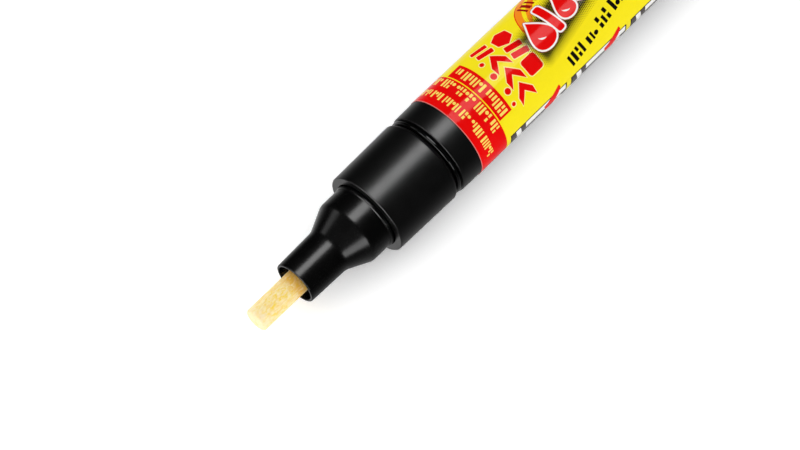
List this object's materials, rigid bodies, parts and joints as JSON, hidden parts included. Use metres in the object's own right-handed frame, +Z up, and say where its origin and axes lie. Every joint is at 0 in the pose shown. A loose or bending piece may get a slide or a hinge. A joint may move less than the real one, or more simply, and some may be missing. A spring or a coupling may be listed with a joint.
{
  "type": "clear-coat pen",
  "caption": "Uncapped press-tip pen lying on its side: a round fibre nib in a stepped black nozzle, on a printed barrel that holds a spring valve.",
  "frame": {"origin": "on the surface that the pen lies on, below the middle of its length", "axes": "+X along the pen from the nib towards the closed end, +Z up, +Y across"},
  "size_m": [0.127, 0.0166, 0.0167],
  "materials": {
    "black_plastic": "moulded black polypropylene with a soft gloss",
    "printed_film": "glossy yellow film printed in red, black and white",
    "seal_rubber": "smooth black rubber",
    "pressed_fibre": "cream pressed fibre with a fine grain along its length",
    "white_plastic": "natural white moulded plastic",
    "spring_steel": "bright drawn stainless wire"
  },
  "bodies": {
    "body": {"barrel": "black_plastic", "label_sleeve": "printed_film", "front_section": "black_plastic", "neck_seal": "seal_rubber", "nozzle": "black_plastic", "valve_body": "white_plastic", "valve_seal": "seal_rubber", "valve_spring": "spring_steel", "spring_retainer": "white_plastic"},
    "plunger": {"valve_stem": "white_plastic"},
    "nib": {"nib": "pressed_fibre"}
  },
  "joints": [
    {"name": "tip_press", "type": "slide", "parent": "body", "child": "plunger", "axis": [1, 0, 0], "range_m": [0, 0.0018], "stiffness_N_per_m": 700, "springref_m": -0.003, "deforming": ["valve_spring"]},
    {"name": "nib_pull", "type": "slide", "parent": "plunger", "child": "nib", "axis": [-1, 0, 0], "range_m": [0, 0.0165]}
  ]
}
